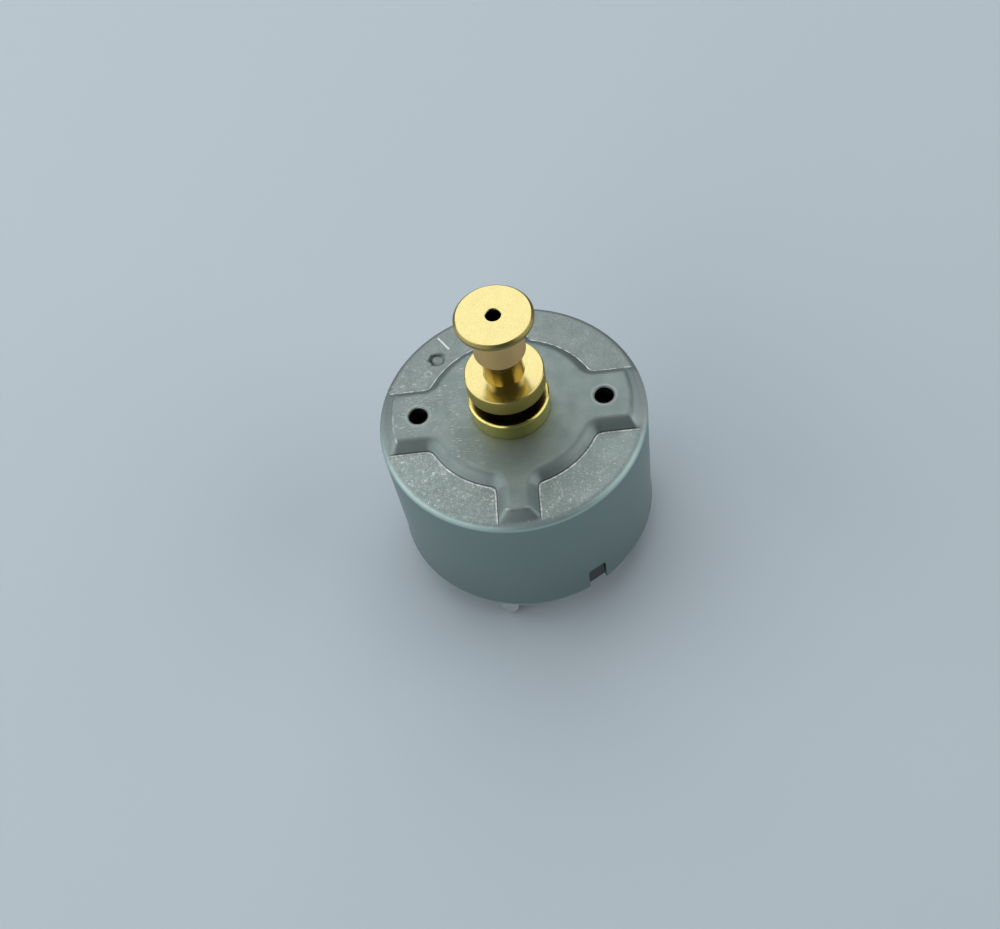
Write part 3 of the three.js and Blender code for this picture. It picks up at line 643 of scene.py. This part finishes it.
def pulley_finish():
    """Bright brass, rougher on the step and the rims, with painted dark reflections on the neck, the step and
    the rims, and painted shade in the vent and under the flange.
    """
    finish = turned_metal("pulley_brass", (0.74, 0.62, 0.25), (0.84, 0.76, 0.38), 0.13, 0.22, 0.0012)
    _, _, z = finish.axes()
    radius = finish.radius()
    in_vent = finish.product(
        finish.ramp(radius, VENT_RADIUS + 0.14, VENT_RADIUS + 0.08),
        finish.ramp(z, PULLEY_TOP - 0.03, PULLEY_TOP - 0.08),
    )
    # Painted dark reflection on the step, which is also rougher.
    on_step = finish.product(
        finish.ramp(radius, NECK_RADIUS + 0.02, NECK_RADIUS + 0.1),
        finish.ramp(radius, STEP_RADIUS + 0.1, STEP_RADIUS + 0.05),
        finish.ramp(z, STEP_BOTTOM, STEP_BOTTOM + 0.1),
        finish.ramp(z, RIM_BOTTOM + 0.05, RIM_BOTTOM - 0.05),
    )
    finish.tint(on_step, STEP_REFLECTION_TONE)
    # Painted dark reflection on the neck.
    on_neck = finish.product(
        finish.ramp(radius, NECK_RADIUS + 0.1, NECK_RADIUS + 0.04),
        finish.ramp(z, STEP_BOTTOM + 0.02, STEP_BOTTOM - 0.02),
    )
    finish.tint(finish.product(on_neck, 0.8), NECK_REFLECTION_TONE)
    # Painted dark reflections on the sides of the flange rims and around the top face.
    on_rims = finish.ramp(radius, FLANGE_RADIUS - 0.12, FLANGE_RADIUS - 0.04)
    finish.tint(finish.product(on_rims, 0.85), RIM_SIDE_REFLECTION_TONE)
    around_face = finish.product(
        finish.ramp(radius, FACE_RADIUS + 0.03, FACE_RADIUS + 0.07),
        finish.ramp(z, RIM_BOTTOM - 0.05, RIM_BOTTOM),
    )
    finish.tint(finish.product(around_face, 0.85), RIM_EDGE_REFLECTION_TONE)
    dull = finish.math("MAXIMUM", on_step, finish.math("MAXIMUM", on_rims, around_face))
    finish.roughness(finish.mix_value(dull, finish.grit, DULL_ROUGHNESS))
    # Painted shade under the flange and in the vent.
    finish.tint(finish.ramp(z, FLANGE_BOTTOM + 0.14, FLANGE_BOTTOM + 0.04), UNDERSIDE_SHADE_TONE)
    finish.tint(in_vent, VENT_SHADE_TONE)
    return finish.material


def housing_finish():
    """Brass with painted shade on its top face under the pulley."""
    finish = turned_metal("housing_brass", (0.78, 0.66, 0.19), (0.90, 0.80, 0.27), 0.176, 0.275, 0.0012)
    _, _, z = finish.axes()
    shaded = finish.product(
        finish.ramp(z, HOUSING_TOP - 0.06, HOUSING_TOP - 0.01),
        finish.ramp(finish.radius(), HOUSING_RADIUS - 0.2, HOUSING_RADIUS - 0.5),
    )
    finish.tint(finish.product(shaded, 0.8), HOUSING_SHADE_TONE)
    return finish.material


def sintered_metal(name, dark, bright):
    """Pressed metal powder with open pores."""
    finish = Finish(name, 0.85)
    pores = finish.ramp(finish.noise(16.0, detail=4.0), 0.42, 0.55)
    finish.colour(finish.mix(pores, dark, bright))
    finish.roughness(finish.ramp(pores, 0.0, 1.0, 0.8, 0.5))
    finish.bump(pores, 0.02)
    return finish.material


def rolled_metal(name, dark, bright, roughness, stretch):
    """Sheet or wire stock with fine lines along one direction."""
    finish = Finish(name, 1.0)
    lines = finish.noise(1.0, detail=3.0, stretch=stretch)
    stains = finish.noise(0.8, detail=4.0)
    tone = finish.mix(finish.ramp(lines, 0.3, 0.7), dark, bright)
    finish.colour(finish.mix(finish.ramp(stains, 0.5, 0.8, 0.0, 0.6), tone, dark))
    finish.roughness(finish.ramp(lines, 0.3, 0.7, roughness * 1.3, roughness * 0.8))
    finish.bump(lines, 0.006)
    return finish.material


def moulded(name, dark, bright, roughness):
    """Moulded plastic with a faint spark-eroded texture."""
    finish = Finish(name, 0.0)
    skin = finish.noise(9.0, detail=2.0)
    flow = finish.noise(0.35, detail=3.0)
    finish.colour(finish.mix(finish.ramp(flow, 0.3, 0.7), dark, bright))
    finish.roughness(finish.ramp(skin, 0.3, 0.7, roughness * 0.85, roughness * 1.2))
    finish.bump(skin, 0.01)
    return finish.material


def mineral(name, dark, bright, roughness, grain):
    """Fired or pressed powder: ferrite, ceramic and graphite."""
    finish = Finish(name, 0.0)
    grit = finish.noise(grain, detail=4.0)
    patches = finish.noise(0.5)
    tone = finish.mix(finish.ramp(grit, 0.3, 0.7), dark, bright)
    finish.colour(finish.mix(finish.ramp(patches, 0.45, 0.75, 0.0, 0.5), tone, dark))
    finish.roughness(finish.ramp(grit, 0.3, 0.7, roughness, roughness * 0.8))
    finish.bump(grit, 0.015)
    return finish.material


def enamelled_wire():
    """Copper winding wire under clear amber enamel."""
    coat = [("Coat Weight", 0.6), ("Coat Roughness", 0.15)]
    finish = Finish("enamelled_wire", 0.9, coat)
    radius = finish.radius()
    turns = finish.math("SINE", finish.math("MULTIPLY", radius, 28.0))
    finish.colour(finish.mix(finish.ramp(turns, -1.0, 0.6), (0.16, 0.05, 0.02), (0.62, 0.26, 0.10)))
    finish.roughness(finish.ramp(finish.noise(4.0), 0.3, 0.7, 0.25, 0.4))
    finish.bump(finish.ramp(turns, -1.0, 1.0), 0.06)
    return finish.material


MATERIALS = {
    "zinc_plated_steel": zinc_finish(),
    "pulley_brass": pulley_finish(),
    "housing_brass": housing_finish(),
    "sintered_bronze": sintered_metal("sintered_bronze", (0.10, 0.06, 0.035), (0.42, 0.30, 0.19)),
    "ferrite": mineral("ferrite", (0.02, 0.02, 0.022), (0.07, 0.07, 0.075), 0.7, 6.0),
    "spring_steel": rolled_metal(
        "spring_steel", (0.36, 0.37, 0.39), (0.55, 0.56, 0.58), 0.3, (0.4, 0.4, 14.0),
    ),
    "black_nylon": moulded("black_nylon", (0.016, 0.017, 0.019), (0.035, 0.037, 0.04), 0.45),
    "white_nylon": moulded("white_nylon", (0.66, 0.65, 0.58), (0.80, 0.79, 0.74), 0.42),
    "tinned_brass": rolled_metal(
        "tinned_brass", (0.50, 0.52, 0.52), (0.74, 0.76, 0.75), 0.32, (1.5, 1.5, 7.0),
    ),
    "phosphor_bronze": rolled_metal(
        "phosphor_bronze", (0.42, 0.26, 0.14), (0.62, 0.43, 0.26), 0.3, (1.0, 1.0, 12.0),
    ),
    "carbon": mineral("carbon", (0.012, 0.012, 0.012), (0.05, 0.048, 0.046), 0.6, 14.0),
    "ground_steel": turned_metal(
        "ground_steel", (0.48, 0.49, 0.51), (0.66, 0.67, 0.69), 0.16, 0.25, 0.002,
    ).material,
    "silicon_steel": rolled_metal(
        "silicon_steel", (0.22, 0.24, 0.25), (0.38, 0.40, 0.41), 0.4, (2.0, 2.0, 2.0),
    ),
    "enamelled_wire": enamelled_wire(),
    "copper": turned_metal(
        "copper", (0.55, 0.25, 0.13), (0.74, 0.40, 0.24), 0.2, 0.3125, 0.003,
    ).material,
    "varistor_ceramic": mineral("varistor_ceramic", (0.09, 0.08, 0.075), (0.17, 0.15, 0.14), 0.7, 8.0),
}

# ---------------------------------------------------------------- can


def smooth_min(first, second, width):
    """The lower of two heights, with the edge between them rounded off."""
    overlap = np.clip(width - np.abs(first - second), 0, None)
    return np.minimum(first, second) - overlap ** 2 / (4 * width)


def distance_from_sector(x, y):
    """How far a point lies outside the floor of the nearest sector."""
    x, y = np.abs(x), np.abs(y)
    reach = SECTOR_INNER_RADIUS + SECTOR_CORNER
    side, end = SIDE_ARM_FOOT + SECTOR_CORNER, END_ARM_FOOT + SECTOR_CORNER
    side_corner = (math.sqrt(reach ** 2 - side ** 2), side)
    end_corner = (end, math.sqrt(reach ** 2 - end ** 2))
    angle = np.arctan2(y, x)
    between = (angle > math.asin(side / reach)) & (angle < math.acos(end / reach))
    nearest = np.minimum.reduce([
        np.hypot(x - side_corner[0], y - side_corner[1]),
        np.hypot(x - end_corner[0], y - end_corner[1]),
        np.where(x > side_corner[0], side - y, np.inf),
        np.where(y > end_corner[1], end - x, np.inf),
        np.where(between, reach - np.hypot(x, y), np.inf),
    ])
    return nearest - SECTOR_CORNER


def press_marks(x, y):
    """How deep the punch marks are."""
    depth = np.zeros_like(x)
    for place, reach, deepest in (PUNCH_MARK, SMALL_MARK):
        away = np.hypot(x - place[0], y - place[1]) / reach
        wall = np.clip((1 - away) / MARK_WALL, 0, 1)
        crown = np.clip(1 - away / (1 - MARK_WALL), 0, 1)
        depth += deepest * wall ** 2 * (3 - 2 * wall) * (1 - MARK_CROWN * crown)
    return depth


def face_height(x, y):
    """Height of the outer skin of the front face."""
    radius = np.hypot(x, y)
    outside = distance_from_sector(x, y)
    wall = SECTOR_FLOOR + np.clip(outside, 0, None) * SECTOR_DEPTH / SECTOR_DRAFT
    height = smooth_min(wall, np.full_like(wall, PLATFORM), TOP_EDGE_BLEND)
    steep = PLATFORM - (radius - ARM_REACH) * ARM_END_DROP / ARM_END_RUN
    gentle_start = ARM_REACH + ARM_END_RUN
    gentle_fall = (SECTOR_DEPTH - ARM_END_DROP) / (CAN_RADIUS - RIM_ROUND - gentle_start)
    gentle = PLATFORM - ARM_END_DROP - (radius - gentle_start) * gentle_fall
    shoulder = -smooth_min(-steep, -gentle, ARM_END_BLEND)
    height = smooth_min(height, shoulder, ARM_END_BLEND)
    return np.maximum(height, SECTOR_FLOOR) - press_marks(x, y)


def skin_height(x, y):
    """Height of the inner skin under the front face."""
    radius = np.hypot(x, y)
    slope = np.clip((radius - POCKET_REACH) / (CAN_BORE - INNER_CORNER - POCKET_REACH), 0, 1)
    return np.minimum(face_height(x, y) - SHEET, PLATFORM - SHEET - slope * SECTOR_DEPTH)


def can_rings():
    """The can's rings, from the centre hole over the face, down the side, and back inside.

    Each ring is a radius with a height, or with a function that gives its height from place to place."""
    face_edge = CAN_RADIUS - RIM_ROUND
    fine_start = SECTOR_INNER_RADIUS - SECTOR_DRAFT - 1
    steps = round((face_edge - fine_start) / RING_STEP)
    coarse = [CENTRE_HOLE + HOLE_EDGE, CENTRE_HOLE + 2, fine_start - 1]
    face = [*coarse, *np.linspace(fine_start, face_edge, steps)]
    rings = [(CENTRE_HOLE, PLATFORM - HOLE_EDGE)]
    rings += [(radius, face_height) for radius in face]
    rim_foot = SECTOR_FLOOR - RIM_ROUND
    rings += arc((face_edge, rim_foot), RIM_ROUND, 90, 0, RIM_STEPS)[1:]
    flare_top = LIP + FLARE_LENGTH
    rings += [(CAN_RADIUS, height) for height in np.linspace(rim_foot, flare_top, SIDE_RINGS)[1:]]
    lip_centre = (CAN_RADIUS + LIP_FLARE - LIP_ROUND, LIP + LIP_ROUND)
    for step in range(1, LIP_STEPS + 1):
        share = step / LIP_STEPS
        rings.append((CAN_RADIUS + LIP_FLARE * share ** 2, flare_top + (lip_centre[1] - flare_top) * share))
    rings += arc(lip_centre, LIP_ROUND, 0, -90, LIP_STEPS)[1:]
    ceiling = SECTOR_FLOOR - SHEET
    rings += [(CAN_BORE, LIP), (CAN_BORE, LIP + 5), (CAN_BORE, ceiling - INNER_CORNER)]
    inner = np.linspace(CAN_BORE - INNER_CORNER, SECTOR_INNER_RADIUS - SECTOR_DRAFT - 0.5, INNER_RINGS)
    rings += [(radius, skin_height) for radius in inner]
    rings.append((CENTRE_HOLE, skin_height))
    return rings


def turned_to(obj, angle):
    """Carries an object round the shaft axis by an angle in degrees."""
    obj.data.transform(Matrix.Rotation(math.radians(angle), 4, "Z"))
    return obj


def notch_tool(angle):
    """The shape that is cut from the can's edge at one notch."""
    half, top = NOTCH_WIDTH / 2, LIP + NOTCH_HEIGHT
    outline = [(-half, LIP - OVERCUT), (half, LIP - OVERCUT)]
    for start, side in ((0, 1), (90, -1)):
        centre = (side * (half - NOTCH_CORNER), top - NOTCH_CORNER)
        outline += arc(centre, NOTCH_CORNER, start, start + 90, NOTCH_STEPS)
    inner, outer = CAN_BORE - OVERCUT, CAN_RADIUS + OVERCUT
    points = [(inner, across, height) for across, height in outline]
    points += [(outer, across, height) for across, height in outline]
    count = len(outline)
    faces = [list(range(count)), list(range(count, 2 * count))]
    for index in range(count):
        after = (index + 1) % count
        faces.append([index, after, after + count, index + count])
    obj = make_object("notch_tool", points, faces)
    tidy_normals(obj)
    return turned_to(obj, angle)


def crimp_tool(angle):
    """A tongue of the can's edge that is pressed in over the end cap."""
    half = CRIMP_WIDTH / 2
    points = []
    for radius, spread in ((CAN_BORE - CRIMP_REACH, -CRIMP_SPREAD), (CAN_BORE + CRIMP_ROOT, CRIMP_SPREAD)):
        for across in (-half, half):
            for height in (LIP + CRIMP_LIFT, LIP + CRIMP_THICKNESS):
                points.append((radius, across + math.copysign(spread, across), height))
    faces = [[0, 1, 3, 2], [4, 6, 7, 5], [0, 4, 5, 1], [2, 3, 7, 6], [0, 2, 6, 4], [1, 5, 7, 3]]
    obj = make_object("crimp_tool", points, faces)
    tidy_normals(obj)
    return turned_to(obj, angle)


def drill_tool(x):
    """A tapped hole with rounded mouth, as a solid to cut with."""
    bottom = PLATFORM - COLLAR_DEPTH - OVERCUT
    above = PLATFORM + OVERCUT / 2
    mouth_radius = HOLE_RADIUS + HOLE_LEAD_IN
    profile = [(0.0, bottom), (HOLE_RADIUS, bottom)]
    turns = int((COLLAR_DEPTH - HOLE_LEAD_IN) / THREAD_PITCH)
    for turn in range(turns):
        start = PLATFORM - COLLAR_DEPTH + turn * THREAD_PITCH + THREAD_START
        profile.append((HOLE_RADIUS, start))
        profile.append((HOLE_RADIUS + THREAD_DEPTH, start + THREAD_PITCH / 2))
    profile.append((HOLE_RADIUS, PLATFORM - HOLE_LEAD_IN))
    mouth_centre = (mouth_radius, PLATFORM - HOLE_LEAD_IN + MOUTH_CLEARANCE)
    profile += arc(mouth_centre, HOLE_LEAD_IN, 180, 90, MOUTH_STEPS)[1:-1]
    profile += [(mouth_radius, above), (0.0, above)]
    return lathe("drill_tool", profile, TOOL_SIDES, (x, 0.0))


def collar_tool(x):
    """The collar that the tap cuts its thread in, under the sheet."""
    top = PLATFORM - SHEET / 2
    bottom = PLATFORM - COLLAR_DEPTH
    profile = [
        (0.0, bottom),
        (COLLAR_RADIUS - COLLAR_EDGE, bottom),
        (COLLAR_RADIUS, bottom + COLLAR_EDGE),
        (COLLAR_RADIUS, top),
        (0.0, top),
    ]
    return lathe("collar_tool", profile, TOOL_SIDES, (x, 0.0))


def make_can():
    """The drawn can: a grid of rings, with its collars and crimps joined and its holes cut."""
    angles = 2 * math.pi * (np.arange(AROUND) + 0.5) / AROUND
    points = []
    for radius, height in can_rings():
        x, y = radius * np.cos(angles), radius * np.sin(angles)
        z = height(x, y) if callable(height) else np.full(AROUND, height)
        points.append(np.column_stack([x, y, z]))
    count = len(points)
    grid = np.arange(count * AROUND).reshape(count, AROUND)
    below, beside = np.roll(grid, -1, 0), np.roll(grid, -1, 1)
    faces = np.stack([grid, below, np.roll(below, -1, 1), beside], -1).reshape(-1, 4)
    obj = make_object("can_drawn", np.concatenate(points), faces.tolist())
    tidy_normals(obj)
    holes = (-HOLE_PLACE, HOLE_PLACE)
    boolean(obj, [collar_tool(x) for x in holes] + [crimp_tool(angle) for angle in CRIMP_ANGLES], "UNION")
    boolean(obj, [drill_tool(x) for x in holes] + [notch_tool(angle) for angle in NOTCH_ANGLES], "DIFFERENCE")
    smooth(obj, CAN_CREASE_ANGLE)
    dress(obj, STATOR, MATERIALS["zinc_plated_steel"], "zinc_plated_steel", "can")


make_can()

# ---------------------------------------------------------------- turned and stamped parts

SLOT_OF = {part["node"]: part["material_slot"] for part in frame["record"]["subparts"]}
BODY_OF = {
    node: body for body, nodes in frame["record"]["behaviour"]["bodies"].items() for node in nodes
}
TURNED = {
    "pulley": 0.06,
    "bearing_housing": 0.07,
    "front_bearing": 0.1,
    "rear_bearing": 0.1,
    "shaft": 0.06,
    "thrust_disc": 0.06,
    "commutator_hub": 0.06,
    "commutator_band": 0.06,
    "varistor": 0.1,
    "front_spacer": 0.05,
    "front_washer": 0.05,
    "rear_washer": 0.05,
}

for node in frame["nodes"]:
    slot = SLOT_OF[node]
    if node == "can":
        continue
    if node in TURNED:
        turned_piece(node, BODY_OF[node], MATERIALS[slot], slot, TURNED[node])
    else:
        edged_piece(node, BODY_OF[node], MATERIALS[slot], slot)

# ---------------------------------------------------------------- floor, light and camera


FLOOR_HALF = 2500.0
FLOOR_TONES = ((0.65, 0.75, 0.82), (0.67, 0.77, 0.84))

VIEW_AZIMUTH = 7.52
VIEW_ELEVATION = 56.83
VIEW_ROLL = 12.62
VIEW_DISTANCE = 147.05
VIEW_RIGHT = 1.244
VIEW_DOWN = -6.957
LENS = 45.12
SENSOR_WIDTH = 36.0


def make_floor():
    """A plain pale floor at the height of the lowest point."""
    finish = Finish("floor", 0.0, [("Roughness", 0.7), ("Specular IOR Level", 0.15)])
    finish.colour(finish.mix(finish.noise(0.004, detail=2.0), *FLOOR_TONES))
    half = FLOOR_HALF
    corners_of_floor = [(-half, -half, 0), (half, -half, 0), (half, half, 0), (-half, half, 0)]
    floor = make_object("floor", corners_of_floor, [[0, 1, 2, 3]])
    floor.data.materials.append(finish.material)


def direction(azimuth, elevation):
    """Unit vector from the object towards a compass direction: azimuth 0 is the front, -Y."""
    turn, rise = math.radians(azimuth), math.radians(elevation)
    return Vector((math.sin(turn) * math.cos(rise), -math.cos(turn) * math.cos(rise), math.sin(rise)))


def make_camera():
    """The camera at the viewing angle of the photograph."""
    centre = Vector((0, 0, PLATFORM))
    ahead = -direction(VIEW_AZIMUTH, VIEW_ELEVATION)
    level = ahead.cross(Vector((0, 0, 1))).normalized()
    plumb = ahead.cross(level)
    roll = math.radians(VIEW_ROLL)
    right = math.cos(roll) * level + math.sin(roll) * plumb
    down = -math.sin(roll) * level + math.cos(roll) * plumb
    place = centre - VIEW_RIGHT * right - VIEW_DOWN * down - VIEW_DISTANCE * ahead
    camera = bpy.data.objects.new("camera", bpy.data.cameras.new("camera"))
    camera.data.lens = LENS
    camera.data.sensor_width = SENSOR_WIDTH
    camera.data.clip_start = 0.001
    rotation = Matrix((right, -down, -ahead)).transposed()
    camera.matrix_world = Matrix.Translation(place * MM) @ rotation.to_4x4()
    bpy.context.scene.collection.objects.link(camera)
    bpy.context.scene.camera = camera


def softbox(name, azimuth, elevation, distance, size, radiance):
    """A square area light that faces the motor. Radiance 1 looks white."""
    light = bpy.data.lights.new(name, "AREA")
    light.shape = "SQUARE"
    light.size = size * MM
    light.energy = radiance * math.pi * (size * MM) ** 2
    obj = bpy.data.objects.new(name, light)
    towards = direction(azimuth, elevation)
    obj.location = (Vector((0, 0, PLATFORM)) + towards * distance) * MM
    obj.rotation_euler = towards.to_track_quat("Z", "Y").to_euler()
    bpy.context.scene.collection.objects.link(obj)


def make_world():
    """A dim sky that fills the shadows."""
    world = bpy.data.worlds.new("studio")
    world.use_nodes = True
    background = world.node_tree.nodes["Background"]
    background.inputs["Color"].default_value = (0.85, 0.93, 1.0, 1)
    background.inputs["Strength"].default_value = 0.07
    bpy.context.scene.world = world


make_floor()
make_camera()
softbox(
    "back_softbox",
    azimuth=180 + VIEW_AZIMUTH, elevation=VIEW_ELEVATION, distance=450, size=560, radiance=1.2,
)
softbox("left_softbox", azimuth=-90, elevation=22, distance=450, size=440, radiance=1.35)
softbox("right_softbox", azimuth=85, elevation=22, distance=450, size=460, radiance=1.1)
softbox("front_left_softbox", azimuth=-38, elevation=24, distance=500, size=340, radiance=1.15)
make_world()
bpy.context.scene.view_settings.view_transform = "Standard"

# ---------------------------------------------------------------- hand over

bpy.context.view_layer.update()
